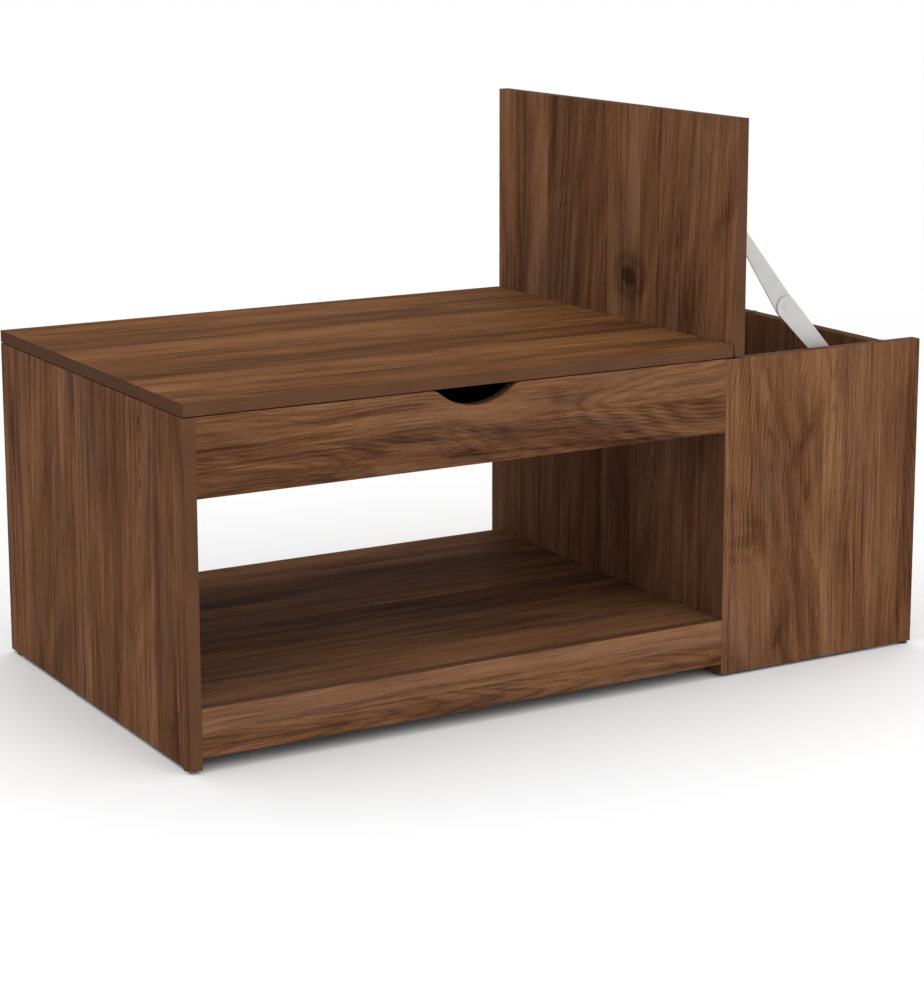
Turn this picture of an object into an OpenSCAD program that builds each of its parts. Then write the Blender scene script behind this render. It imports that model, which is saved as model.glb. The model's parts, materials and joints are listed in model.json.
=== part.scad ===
// Lift top coffee table with a hinged storage box at one end.
// +X runs along the length, +Y to the back, +Z up. The origin is on the floor under the middle of the table.
// The storage lid stands open and the lift top is down.

/* [Table] */
// Length over everything
table_l = 1095; // [1050:5:1200]
// Depth, front to back
table_d = 600; // [560:5:700]
// Height of the top surface
table_h = 450; // [440:5:520]
// Length of the storage lid along the table
lid_l = 311; // [300:1:330]
// How far the box's front and rear panels run past its right side
panel_overhang = 52.5; // [40:0.5:60]

/* [Boards] */
// Thickness of every board
board_t = 16; // [16:0.5:18]
// Rounding of the lid's two edges beside the hinge
lid_edge_r = 4; // [3:0.5:5]
// Height of the band below the lift top, at the front and back
apron_h = 98; // [96:1:110]
// Height of the shelf's upper face
shelf_h = 80; // [75:1:120]
// Height of the rail's lower edge above the floor
rail_h = 19; // [15:1:30]

/* [Finger notch] */
// Width of the scooped notch in the front band
notch_w = 127; // [100:1:140]
// Depth of the notch
notch_d = 23; // [18:1:26]
// Radius of the notch's shoulders
notch_shoulder_r = 18; // [10:1:24]

/* [Lift mechanism] */
// Distance between the pivots of a lifting arm
lift_arm_l = 220; // [200:1:230]
// Slope of the arms while the top is down, in degrees
lift_rest_angle = 10; // [9:0.5:11]
// Width of a lifting arm
lift_arm_w = 18; // [16:1:20]
// Steel thickness of the brackets and arms
steel_t = 3; // [2.5:0.5:3]

/* [Lid stay] */
// Width of the stay's arms at the knee
stay_knee_w = 30; // [26:1:32]
// Width of the upper arm at the lid
stay_lid_w = 17; // [15:1:18]
// Width of the lower arm at the box
stay_box_w = 22; // [18:1:24]

/* [Feet] */
// Height of a glide
glide_h = 4; // [3:0.5:6]
// Radius of a glide
glide_r = 7; // [5:0.5:7.5]

/* [Hidden] */

$fn = 48;
walnut = "#6b452c";
walnut_dark = "#5a3822";
steel = "#bcb8b8";
zinc = "#a9abad";
black = "#141414";

// Room that a round-edged lid of this thickness needs beside its hinge edge, with 0.34 mm to spare
swing_gap = (board_t / 2 - lid_edge_r) * sqrt(2) + lid_edge_r - board_t / 2 + 0.34;
// Gap between the lift top and the case, taken up by the bumpers
rest_gap = 1.2;
eps = 1;

// Faces of the case
left = -table_l / 2;
right = table_l / 2;
front = -table_d / 2;
back = table_d / 2;
under_top = table_h - board_t;
case_top = under_top - rest_gap;
rim_top = under_top - swing_gap;
main_l = table_l - lid_l - swing_gap;
lid_left = right - lid_l;
divider_left = lid_left - board_t + 3.5;
divider_right = divider_left + board_t;
side_right = right - panel_overhang;
side_left = side_right - board_t;
bay_left = left + board_t;
bay_l = divider_left - bay_left;
inner_front = front + board_t;
inner_back = back - board_t;
inner_d = inner_back - inner_front;
apron_bottom = case_top - apron_h;
tray_z = apron_bottom + 2;
tray_top = tray_z + board_t;
shelf_z = shelf_h - board_t;
rail_d = shelf_h - rail_h;
floor_z = rail_h + 1;

// Hinge line of the storage lid: the middle of the board, half a thickness from its edge
lid_axis_x = lid_left + board_t / 2;
lid_axis_z = under_top + board_t / 2;
lid_inner_x = lid_left + board_t;

// Lid hinges
hinge_ys = [front + 110, back - 110];
cup_r = 17.5;
cup_wall = 1;
cup_depth = board_t / 2 + 4.8;
cup_base = 0.8;
cup_z = under_top + 20;
hinge_pin_r = 1.5;
knuckle_r = 3;
knuckle_w = 8;
hinge_pin_w = 22;
hinge_arm_w = 12;
running_gap = 0.05;
hinge_reach = board_t / 2 + 2;
plate_t = 3;
hinge_flange_t = 1;
cup_screw_l = 11;
plate_screw_l = 12;
hinge_cup_screw_places = [for (y = hinge_ys, side = [-1, 1])
    [lid_inner_x + hinge_flange_t, y + side * 24, cup_z + 9]];
hinge_plate_screw_places = [for (y = hinge_ys, side = [-1, 1])
    [divider_right + plate_t, y + side * 16, rim_top - 37]];

// Lid stay: pivots given from the lid's hinge line, in X and Z
stay_lid_pivot = [lid_axis_x + 18, lid_axis_z + 148];
stay_knee = [lid_axis_x + 91.5, lid_axis_z + 47];
stay_box_pivot = [lid_axis_x + 185, lid_axis_z - 51];
stay_t = 2;
stay_gap = 0.4;
stay_y = inner_front + 6;
stay_upper_y = stay_y + stay_t + stay_gap;
stay_pin_r = 3;
stay_screw_l = 12;
stay_plate_t = 2;
stay_clearance = 0.3;
stay_box_screw_places = [for (side = [-1, 1])
    [stay_box_pivot[0] + side * 14, inner_front + stay_plate_t, stay_box_pivot[1]]];
stay_lid_screw_places = [for (side = [-1, 1])
    [lid_inner_x + stay_plate_t, stay_upper_y + stay_t + 10, stay_lid_pivot[1] + side * 12]];

// Lift mechanism: pivots of the left side, in Y and Z
arm_end_r = lift_arm_w / 2;
front_pivot = [-120, tray_top + 21];
rear_pivot = [-30, tray_top + 17];
lift_reach = [lift_arm_l * cos(lift_rest_angle), lift_arm_l * sin(lift_rest_angle)];
lift_x = bay_left + 26;
lift_mid_x = bay_left + bay_l / 2;
lift_gap = 0.4;
lift_pin_r = 4;
pin_head_r = 6.5;
pin_head_t = 2;
pin_play = 0.3;
flange_w = 20;
cross_bar_r = 8;
cross_bar_bore_r = 6.5;
// How far along the front arms the cross bar is
cross_bar_share = 0.45;
base_screw_l = 15;
bracket_screw_l = 13;
base_ys = [front_pivot[0] - 24, rear_pivot[0] + 24];
bracket_ys = [front_pivot[0] + lift_reach[0] - 22, rear_pivot[0] + lift_reach[0] + 22];
upper_z = [front_pivot[1] + lift_reach[1], rear_pivot[1] + lift_reach[1]];
lift_base_screw_places = [for (x = [lift_x + steel_t + 11, 2 * lift_mid_x - lift_x - steel_t - 11],
    y = [base_ys[0] + 10, base_ys[1] - 10]) [x, y, tray_top + steel_t]];
top_bracket_screw_places = [for (x = [lift_x + steel_t + 11, 2 * lift_mid_x - lift_x - steel_t - 11],
    y = [bracket_ys[0] + 12, bracket_ys[1] - 12]) [x, y, under_top - steel_t]];
// The front arms are on the inner side of their plates, the rear arms on the outer side
front_arm_x = lift_x + steel_t + lift_gap;
rear_arm_x = lift_x - steel_t - lift_gap;

// Lift springs: a wire swept as rings of six points along a helix about X
spring_r = 9;
wire_r = 1;
spring_turns = 5;
spring_steps = 16;
spring_pitch = 2.4;
spring_rings = [for (i = [0 : spring_turns * spring_steps]) let (a = 360 * i / spring_steps)
    [for (k = [0 : 5]) let (b = 60 * k)
        [spring_pitch * i / spring_steps + wire_r * sin(b), (spring_r + wire_r * cos(b)) * cos(a),
            (spring_r + wire_r * cos(b)) * sin(a)]]];

// Fittings that hold the boards together
dowel_r = 4;
dowel_l = 30;
dowel_in_face = 10;
cam_r = 7.5;
cam_depth = 12.5;
cam_set_back = 24;
cam_bolt_r = 3;
screw_r = 1.75;
screw_head_r = 3.5;
screw_head_t = 2;

// Ends of the horizontal boards: [x of the joint, direction into the board]
bay_joints = [[bay_left, 1], [divider_left, -1]];
box_joints = [[divider_right, 1], [side_left, -1]];
shelf_mid = shelf_z + board_t / 2;
tray_mid = tray_z + board_t / 2;
floor_mid = floor_z + board_t / 2;
front_mid = front + board_t / 2;
back_mid = back - board_t / 2;
apron_mid = apron_bottom + apron_h / 2;
rear_rail_y = inner_back - board_t;

// Half of the notch's outline in X and Z, from the middle out: a wide arc and then a shoulder arc
notch_sum_r = (notch_w * notch_w / 4 + notch_d * notch_d) / (2 * notch_d);
notch_r = notch_sum_r - notch_shoulder_r;
notch_turn = asin(notch_w / 2 / notch_sum_r);
notch_steps = 12;
notch_half = concat(
    [for (i = [0 : notch_steps]) let (a = notch_turn * i / notch_steps)
        [notch_r * sin(a), notch_r - notch_d - notch_r * cos(a)]],
    [for (i = [1 : notch_steps]) let (a = notch_turn * (1 - i / notch_steps))
        [notch_w / 2 - notch_shoulder_r * sin(a), notch_shoulder_r * (cos(a) - 1)]],
    [[notch_w / 2, eps]]);

// Dowels along X: [y, z] of each one at every joint of its row
bay_dowels = [[-200, shelf_mid], [200, shelf_mid], [-200, tray_mid], [200, tray_mid],
    [front_mid, apron_bottom + 16], [front_mid, case_top - 36], [back_mid, apron_bottom + 16],
    [back_mid, case_top - 36], [front_mid, rail_h + 14], [front_mid, shelf_h - 14],
    [rear_rail_y + board_t / 2, rail_h + 22]];
box_dowels = [[-200, floor_mid], [0, floor_mid], [200, floor_mid]];
// Cams along X in flat boards, and in upright ones
bay_flat_cams = [[-130, shelf_mid], [130, shelf_mid], [0, tray_mid]];
bay_upright_cams = [[front_mid, apron_mid - 8, 1], [back_mid, apron_mid - 8, -1]];
box_flat_cams = [[-110, floor_mid], [110, floor_mid]];
// Dowels along Y, from the box's front and rear panels into the divider and the right side: [x, z]
panel_dowels = [for (x = [divider_left + board_t / 2, side_left + board_t / 2], z = [70, 180, 300, 390])
    [x, z]];

bumper_r = 5;
bumper_clearance = 0.3;
glide_places = [[left + board_t / 2, front + 22], [left + board_t / 2, back - 22],
    [divider_left + board_t / 2, front + 23], [divider_left + board_t / 2, back - 23],
    [right - board_t / 2, front_mid], [right - board_t / 2, back_mid]];
top_bumper_places = [[bay_left + 60, front_mid], [divider_left - 60, front_mid],
    [bay_left + 60, back_mid], [divider_left - 60, back_mid]];
rim_bumper_places = [[right - 60, front_mid], [right - 60, back_mid], [side_left + board_t / 2, 0]];

// ---------- helpers ----------

module board(x, y, z, size) {
    translate([x, y, z]) cube(size);
}

// Turns a shape that stands on +Z so that it points along the named axis
module point_to(place, axis) {
    turn = axis == "+x" ? [0, 90, 0]
        : axis == "-x" ? [0, -90, 0]
        : axis == "+y" ? [-90, 0, 0]
        : axis == "-y" ? [90, 0, 0]
        : axis == "-z" ? [180, 0, 0]
        : [0, 0, 0];
    translate(place) rotate(turn) children();
}

// Wood screw with its head at the place and its shank going along the axis
module screw(place, axis, length) {
    point_to(place, axis) difference() {
        union() {
            cylinder(h = screw_head_t, r1 = screw_head_r, r2 = screw_r);
            translate([0, 0, screw_head_t]) cylinder(h = length - screw_head_t, r = screw_r);
        }
        translate([-2, -0.4, -eps]) cube([4, 0.8, eps + 0.9]);
        translate([-0.4, -2, -eps]) cube([0.8, 4, eps + 0.9]);
    }
}

// The hole that the screw cuts for itself
module screw_hole(place, axis, length) {
    point_to(place, axis) {
        cylinder(h = screw_head_t, r1 = screw_head_r, r2 = screw_r);
        translate([0, 0, screw_head_t]) cylinder(h = length - screw_head_t, r = screw_r);
    }
}

// Points of an arc about the origin, or about a point on the X axis
function arc(r, from, to, x = 0, steps = 16) =
    [for (i = [0 : steps]) let (a = from + (to - from) * i / steps) [x + r * cos(a), r * sin(a)]];

// Flat bar in the X-Z plane between two pivots, with round ends of its own width at each
module tapered_bar(a, b, ra, rb, y, thickness) {
    run = norm(b - a);
    heading = atan2(b[1] - a[1], b[0] - a[0]);
    lean = asin((ra - rb) / run);
    translate([a[0], y + thickness, a[1]]) rotate([90, 0, 0]) rotate([0, 0, heading])
        linear_extrude(thickness)
            polygon(concat(arc(ra, 90 - lean, 270 + lean), arc(rb, lean - 90, 90 - lean, run)));
}

// Flat bar in the Y-Z plane from a pivot, with round ends
module lift_bar(pivot, x) {
    translate([x, pivot[0], pivot[1]]) rotate([90, 0, 90]) rotate([0, 0, lift_rest_angle])
        linear_extrude(steel_t) {
            circle(arm_end_r);
            translate([lift_arm_l, 0]) circle(arm_end_r);
            translate([0, -arm_end_r]) square([lift_arm_l, lift_arm_w]);
        }
}

// Cylinder along X with its left end at x
module x_rod(x, y, z, r, length) {
    translate([x, y, z]) rotate([0, 90, 0]) cylinder(h = length, r = r);
}

// Cylinder along Y with its front end at y
module y_rod(x, y, z, r, length) {
    translate([x, y, z]) rotate([-90, 0, 0]) cylinder(h = length, r = r);
}

// Repeats the left half of the lift mechanism, mirrored, at the right
module right_hand() {
    translate([2 * lift_mid_x, 0, 0]) mirror([1, 0, 0]) children();
}

// ---------- fittings in the boards ----------

module dowel_shapes() {
    for (joint = bay_joints, place = bay_dowels)
        x_rod(joint[0] - (joint[1] > 0 ? dowel_in_face : dowel_l - dowel_in_face), place[0], place[1],
            dowel_r, dowel_l);
    for (joint = box_joints, place = box_dowels)
        x_rod(joint[0] - (joint[1] > 0 ? dowel_in_face : dowel_l - dowel_in_face), place[0], place[1],
            dowel_r, dowel_l);
    for (place = panel_dowels) {
        y_rod(place[0], inner_front - dowel_in_face, place[1], dowel_r, dowel_l);
        y_rod(place[0], inner_back - dowel_l + dowel_in_face, place[1], dowel_r, dowel_l);
    }
}

// A cam lies in a flat board with its face level with the underside
module flat_cams(joints, places) {
    for (joint = joints, place = places)
        translate([joint[0] + joint[1] * cam_set_back, place[0], place[1] - board_t / 2])
            cylinder(h = cam_depth, r = cam_r);
}

module cam_shapes() {
    flat_cams(bay_joints, bay_flat_cams);
    flat_cams(box_joints, box_flat_cams);
    for (joint = bay_joints, place = bay_upright_cams)
        point_to([joint[0] + joint[1] * cam_set_back, place[0] + place[2] * board_t / 2, place[1]],
            place[2] > 0 ? "-y" : "+y")
            cylinder(h = cam_depth, r = cam_r);
}

// A bolt runs from the upright panel nearly to the middle of its cam
module cam_bolt_row(joints, places) {
    bolt_l = cam_set_back - 2 + dowel_in_face;
    for (joint = joints, place = places)
        x_rod(joint[0] - (joint[1] > 0 ? dowel_in_face : bolt_l - dowel_in_face), place[0], place[1],
            cam_bolt_r, bolt_l);
}

module cam_bolt_shapes() {
    cam_bolt_row(bay_joints, bay_flat_cams);
    cam_bolt_row(bay_joints, [for (place = bay_upright_cams) [place[0], place[1]]]);
    cam_bolt_row(box_joints, box_flat_cams);
}

module fitting_bores() {
    dowel_shapes();
    cam_shapes();
    cam_bolt_shapes();
}

module fitted_board(x, y, z, size, tone = walnut) {
    color(tone) difference() {
        board(x, y, z, size);
        fitting_bores();
        children();
    }
}

module dowels() {
    color("burlywood") dowel_shapes();
}

module cam_discs() {
    color(zinc) difference() {
        cam_shapes();
        cam_bolt_shapes();
        for (joint = bay_joints, place = bay_flat_cams)
            cam_slot([joint[0] + joint[1] * cam_set_back, place[0], place[1] - board_t / 2], [8, 1.6, 3]);
        for (joint = box_joints, place = box_flat_cams)
            cam_slot([joint[0] + joint[1] * cam_set_back, place[0], place[1] - board_t / 2], [8, 1.6, 3]);
        for (joint = bay_joints, place = bay_upright_cams)
            cam_slot([joint[0] + joint[1] * cam_set_back, place[0] + place[2] * board_t / 2, place[1]],
                [8, 3, 1.6]);
    }
}

// Screwdriver slot, centred on the cam's face
module cam_slot(place, size) {
    translate(place) cube(size, center = true);
}

module cam_bolts() {
    color(zinc) cam_bolt_shapes();
}

// ---------- case ----------

module left_side_panel() {
    fitted_board(left, front, glide_h, [board_t, table_d, case_top - glide_h]);
}

module divider_panel() {
    fitted_board(divider_left, inner_front, glide_h, [board_t, inner_d, rim_top - glide_h])
        for (place = hinge_plate_screw_places)
            screw_hole(place, "-x", plate_screw_l);
}

module right_side_panel() {
    fitted_board(side_left, inner_front, glide_h, [board_t, inner_d, rim_top - glide_h]);
}

module box_front_panel() {
    fitted_board(divider_left, front, glide_h, [right - divider_left, board_t, rim_top - glide_h])
        for (place = stay_box_screw_places)
            screw_hole(place, "-y", stay_screw_l);
}

module box_rear_panel() {
    fitted_board(divider_left, inner_back, glide_h, [right - divider_left, board_t, rim_top - glide_h]);
}

module box_floor() {
    fitted_board(divider_right, inner_front, floor_z, [side_left - divider_right, inner_d, board_t],
        walnut_dark);
}

module rear_apron() {
    fitted_board(bay_left, inner_back, apron_bottom, [bay_l, board_t, apron_h]);
}

module front_apron() {
    fitted_board(bay_left, front, apron_bottom, [bay_l, board_t, apron_h])
        translate([bay_left + bay_l / 2, front - eps, case_top]) mirror([0, 1, 0]) rotate([90, 0, 0])
            linear_extrude(board_t + 2 * eps)
                polygon(concat(notch_half,
                    [for (i = [len(notch_half) - 1 : -1 : 1]) [-notch_half[i][0], notch_half[i][1]]]));
}

module tray_floor() {
    fitted_board(bay_left, inner_front, tray_z, [bay_l, inner_d, board_t], walnut_dark)
        for (place = lift_base_screw_places)
            screw_hole(place, "-z", base_screw_l);
}

module shelf() {
    fitted_board(bay_left, inner_front, shelf_z, [bay_l, inner_d, board_t]);
}

module front_rail() {
    fitted_board(bay_left, front, rail_h, [bay_l, board_t, rail_d]);
}

module rear_rail() {
    fitted_board(bay_left, rear_rail_y, rail_h, [bay_l, board_t, shelf_z - rail_h]);
}

module main_top() {
    color(walnut) difference() {
        board(left, front, under_top, [main_l, table_d, board_t]);
        for (place = top_bracket_screw_places)
            screw_hole(place, "+z", bracket_screw_l);
    }
}

// ---------- storage lid ----------

module storage_lid() {
    color(walnut) difference() {
        translate([lid_left, back, under_top]) rotate([90, 0, 0]) linear_extrude(table_d) {
            translate([lid_edge_r, lid_edge_r]) circle(lid_edge_r);
            translate([board_t - lid_edge_r, lid_edge_r]) circle(lid_edge_r);
            translate([lid_edge_r, 0]) square([board_t - 2 * lid_edge_r, lid_l]);
            translate([0, lid_edge_r]) square([board_t, lid_l - lid_edge_r]);
        }
        for (y = hinge_ys)
            x_rod(lid_inner_x - cup_depth, y, cup_z, cup_r, cup_depth + eps);
        for (place = hinge_cup_screw_places)
            screw_hole(place, "-x", cup_screw_l);
        for (place = stay_lid_screw_places)
            screw_hole(place, "-x", stay_screw_l);
    }
}

module hinge_cups() {
    color(zinc) for (y = hinge_ys) difference() {
        union() {
            x_rod(lid_inner_x - cup_depth, y, cup_z, cup_r, cup_depth + hinge_flange_t);
            translate([lid_inner_x, y - 31, cup_z + 2]) cube([hinge_flange_t, 62, 14]);
        }
        x_rod(lid_inner_x - cup_depth + cup_base, y, cup_z, cup_r - cup_wall, cup_depth + eps);
        // the rim is cut away where the arm comes out over the lid's edge
        translate([lid_inner_x, y - cup_r - eps, cup_z - cup_r - eps])
            cube([hinge_flange_t + eps, 2 * cup_r + 2 * eps, cup_r - 5]);
        y_rod(lid_axis_x, y - hinge_pin_w / 2, lid_axis_z, hinge_pin_r, hinge_pin_w);
        for (side = [-1, 1])
            screw_hole([lid_inner_x + hinge_flange_t, y + side * 24, cup_z + 9], "-x", cup_screw_l);
    }
}

module hinge_pins() {
    color(steel) for (y = hinge_ys)
        y_rod(lid_axis_x, y - hinge_pin_w / 2, lid_axis_z, hinge_pin_r, hinge_pin_w);
}

// The arm hooks out of the cup and down behind the lid's edge to its plate on the divider
module hinge_arms() {
    outer = hinge_reach + 3.4;
    plate_x = divider_right + plate_t - lid_axis_x;
    drop = rim_top - 4 - lid_axis_z;
    foot = rim_top - 52 - lid_axis_z;
    color(steel) for (y = hinge_ys) translate([lid_axis_x, y, lid_axis_z]) difference() {
        union() {
            y_rod(0, -knuckle_w / 2, 0, knuckle_r, knuckle_w);
            translate([0, -knuckle_w / 2, -1.6]) cube([hinge_reach + 1, knuckle_w, 3.2]);
            translate([0, hinge_arm_w / 2, 0]) rotate([90, 0, 0]) linear_extrude(hinge_arm_w)
                polygon([[hinge_reach, 1.6], [outer, 1.6], [outer, foot + 6], [outer - 6, foot],
                    [plate_x, foot], [plate_x, drop], [hinge_reach, drop]]);
        }
        y_rod(0, -hinge_arm_w, 0, hinge_pin_r + running_gap, 2 * hinge_arm_w);
    }
}

module hinge_plates() {
    color(zinc) for (y = hinge_ys) difference() {
        translate([divider_right, y - 24, rim_top - 56]) cube([plate_t, 48, 38]);
        for (side = [-1, 1])
            screw_hole([divider_right + plate_t, y + side * 16, rim_top - 37], "-x", plate_screw_l);
    }
}

module hinge_cup_screws() {
    color(zinc) for (place = hinge_cup_screw_places)
        screw(place, "-x", cup_screw_l);
}

module hinge_plate_screws() {
    color(zinc) for (place = hinge_plate_screw_places)
        screw(place, "-x", plate_screw_l);
}

// ---------- lid stay ----------

// Flat plate on the box's front panel, with the lower arm's pivot pin standing on it
module stay_box_bracket() {
    x = stay_box_pivot[0];
    z = stay_box_pivot[1];
    color(steel) difference() {
        union() {
            translate([x - 20, inner_front, z - 9]) cube([40, stay_plate_t, 18]);
            y_rod(x, inner_front, z, 6, stay_y - stay_clearance - inner_front);
            y_rod(x, inner_front, z, stay_pin_r, stay_y + stay_t + stay_clearance - inner_front);
            y_rod(x, stay_y + stay_t + stay_clearance, z, 5, 1.5);
        }
        for (place = stay_box_screw_places)
            screw_hole(place, "-y", stay_screw_l);
    }
}

module stay_lower_arm() {
    color(steel) difference() {
        tapered_bar(stay_knee, stay_box_pivot, stay_knee_w / 2, stay_box_w / 2, stay_y, stay_t);
        y_rod(stay_box_pivot[0], stay_y - eps, stay_box_pivot[1], stay_pin_r + running_gap, stay_t + 2 * eps);
        y_rod(stay_knee[0], stay_y - eps, stay_knee[1], stay_pin_r, stay_t + 2 * eps);
    }
}

// The knee's rivet is fixed in the lower arm and ends just short of the upper one
module stay_knee_rivet() {
    color(zinc) {
        y_rod(stay_knee[0], stay_y - 0.6, stay_knee[1], stay_pin_r + 1.5, 0.6);
        y_rod(stay_knee[0], stay_y, stay_knee[1], stay_pin_r, stay_t);
    }
}

module stay_upper_arm() {
    color(steel) difference() {
        tapered_bar(stay_knee, stay_lid_pivot, stay_knee_w / 2, stay_lid_w / 2, stay_upper_y, stay_t);
        y_rod(stay_knee[0], stay_upper_y - eps, stay_knee[1], stay_pin_r + running_gap, stay_t + 2 * eps);
        y_rod(stay_lid_pivot[0], stay_upper_y - eps, stay_lid_pivot[1], stay_pin_r + running_gap,
            stay_t + 2 * eps);
    }
}

// Angle on the lid's inner face: a foot on the board, an ear beside the arm, and the pivot pin
module stay_lid_bracket() {
    ear_y = stay_upper_y + stay_t + stay_clearance;
    x = stay_lid_pivot[0];
    z = stay_lid_pivot[1];
    color(steel) difference() {
        union() {
            translate([lid_inner_x, ear_y, z - 18]) cube([stay_plate_t, 18, 36]);
            translate([lid_inner_x, ear_y, z - 9]) cube([x - lid_inner_x, stay_plate_t, 18]);
            y_rod(x, ear_y, z, 9, stay_plate_t);
            y_rod(x, stay_upper_y - stay_clearance, z, stay_pin_r, ear_y - stay_upper_y + stay_clearance + 1);
            y_rod(x, stay_upper_y - stay_clearance - 1, z, 4.5, 1);
        }
        for (place = stay_lid_screw_places)
            screw_hole(place, "-x", stay_screw_l);
    }
}

module stay_box_screws() {
    color(zinc) for (place = stay_box_screw_places)
        screw(place, "-y", stay_screw_l);
}

module stay_lid_screws() {
    color(zinc) for (place = stay_lid_screw_places)
        screw(place, "-x", stay_screw_l);
}

// ---------- lift mechanism ----------

// Angle screwed to the tray floor: a foot and an upright plate that carries both lower pivots
module lift_base() {
    color(zinc) difference() {
        union() {
            translate([lift_x, base_ys[0], tray_top]) cube([steel_t, base_ys[1] - base_ys[0], 33]);
            translate([lift_x, base_ys[0], tray_top]) cube([flange_w, base_ys[1] - base_ys[0], steel_t]);
        }
        x_rod(lift_x - eps, front_pivot[0], front_pivot[1], lift_pin_r, steel_t + 2 * eps);
        x_rod(lift_x - eps, rear_pivot[0], rear_pivot[1], lift_pin_r, steel_t + 2 * eps);
        for (place = lift_base_screw_places)
            screw_hole(place, "-z", base_screw_l);
        right_hand() for (place = lift_base_screw_places)
            screw_hole(place, "-z", base_screw_l);
    }
}

module lift_base_left() {
    lift_base();
}

module lift_base_right() {
    right_hand() lift_base();
}

// A pivot pin through a plate and one arm, with a head at each end. The arm is on the +1 or -1 side in X.
module pivot_pin(place, side) {
    inner = lift_gap + steel_t + pin_play;
    start = side > 0 ? lift_x : lift_x - inner;
    x_rod(start, place[0], place[1], lift_pin_r, steel_t + inner);
    x_rod(side > 0 ? lift_x - pin_head_t : lift_x - inner - pin_head_t, place[0], place[1], pin_head_r,
        pin_head_t);
    x_rod(side > 0 ? lift_x + steel_t + inner : lift_x + steel_t, place[0], place[1], pin_head_r,
        pin_head_t);
}

module lift_pins_side(rise) {
    pivot_pin([front_pivot[0] + rise[0], front_pivot[1] + rise[1]], 1);
    pivot_pin([rear_pivot[0] + rise[0], rear_pivot[1] + rise[1]], -1);
}

module lift_base_pins() {
    color(steel) {
        lift_pins_side([0, 0]);
        right_hand() lift_pins_side([0, 0]);
    }
}

module top_bracket_pins() {
    color(steel) {
        lift_pins_side(lift_reach);
        right_hand() lift_pins_side(lift_reach);
    }
}

module lift_arm(pivot, x) {
    color(steel) difference() {
        lift_bar(pivot, x);
        x_rod(x - eps, pivot[0], pivot[1], lift_pin_r + running_gap, steel_t + 2 * eps);
        x_rod(x - eps, pivot[0] + lift_reach[0], pivot[1] + lift_reach[1], lift_pin_r + running_gap,
            steel_t + 2 * eps);
    }
}

module front_arm_left() {
    lift_arm(front_pivot, front_arm_x);
}

module front_arm_right() {
    right_hand() lift_arm(front_pivot, front_arm_x);
}

module rear_arm_left() {
    lift_arm(rear_pivot, rear_arm_x);
}

module rear_arm_right() {
    right_hand() lift_arm(rear_pivot, rear_arm_x);
}

// Tube that ties the two front arms together, so that both sides lift alike
module lift_cross_bar() {
    start = front_arm_x + steel_t;
    length = 2 * (lift_mid_x - start);
    middle = front_pivot + lift_reach * cross_bar_share;
    color(zinc) difference() {
        x_rod(start, middle[0], middle[1], cross_bar_r, length);
        x_rod(start - eps, middle[0], middle[1], cross_bar_bore_r, length + 2 * eps);
    }
}

// Angle screwed under the top, with an upright plate that carries both upper pivots
module top_bracket() {
    color(zinc) difference() {
        union() {
            translate([lift_x, bracket_ys[0], upper_z[1] - 12])
                cube([steel_t, bracket_ys[1] - bracket_ys[0], under_top - upper_z[1] + 12]);
            translate([lift_x, bracket_ys[0], under_top - steel_t])
                cube([flange_w, bracket_ys[1] - bracket_ys[0], steel_t]);
        }
        x_rod(lift_x - eps, front_pivot[0] + lift_reach[0], upper_z[0], lift_pin_r, steel_t + 2 * eps);
        x_rod(lift_x - eps, rear_pivot[0] + lift_reach[0], upper_z[1], lift_pin_r, steel_t + 2 * eps);
        for (place = top_bracket_screw_places)
            screw_hole(place, "+z", bracket_screw_l);
        right_hand() for (place = top_bracket_screw_places)
            screw_hole(place, "+z", bracket_screw_l);
    }
}

module top_bracket_left() {
    top_bracket();
}

module top_bracket_right() {
    right_hand() top_bracket();
}

module spring_coil() {
    last = len(spring_rings) - 1;
    polyhedron(
        points = [for (ring = spring_rings, p = ring) p],
        faces = concat(
            [[for (k = [5 : -1 : 0]) k]],
            [for (i = [0 : last - 1], k = [0 : 5])
                [6 * i + k, 6 * i + (k + 1) % 6, 6 * (i + 1) + (k + 1) % 6, 6 * (i + 1) + k]],
            [[for (k = [0 : 5]) 6 * last + k]]));
}

module lift_springs() {
    start = front_arm_x + steel_t + pin_play + pin_head_t + 1.4;
    color(steel) {
        translate([start, front_pivot[0], front_pivot[1]]) spring_coil();
        right_hand() translate([start, front_pivot[0], front_pivot[1]]) spring_coil();
    }
}

module lift_base_screws() {
    color(zinc) for (place = lift_base_screw_places)
        screw(place, "-z", base_screw_l);
}

module top_bracket_screws() {
    color(zinc) for (place = top_bracket_screw_places)
        screw(place, "+z", bracket_screw_l);
}

// ---------- feet and bumpers ----------

module glides() {
    color(black) for (place = glide_places) translate([place[0], place[1], 0]) {
        cylinder(h = 1, r1 = glide_r - 1, r2 = glide_r);
        translate([0, 0, 1]) cylinder(h = glide_h - 1, r = glide_r);
    }
}

module top_bumpers() {
    color("gainsboro") for (place = top_bumper_places) translate([place[0], place[1], case_top])
        cylinder(h = rest_gap - bumper_clearance, r = bumper_r);
}

module rim_bumpers() {
    color("gainsboro") for (place = rim_bumper_places) translate([place[0], place[1], rim_top])
        cylinder(h = swing_gap - bumper_clearance, r = bumper_r);
}

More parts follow.
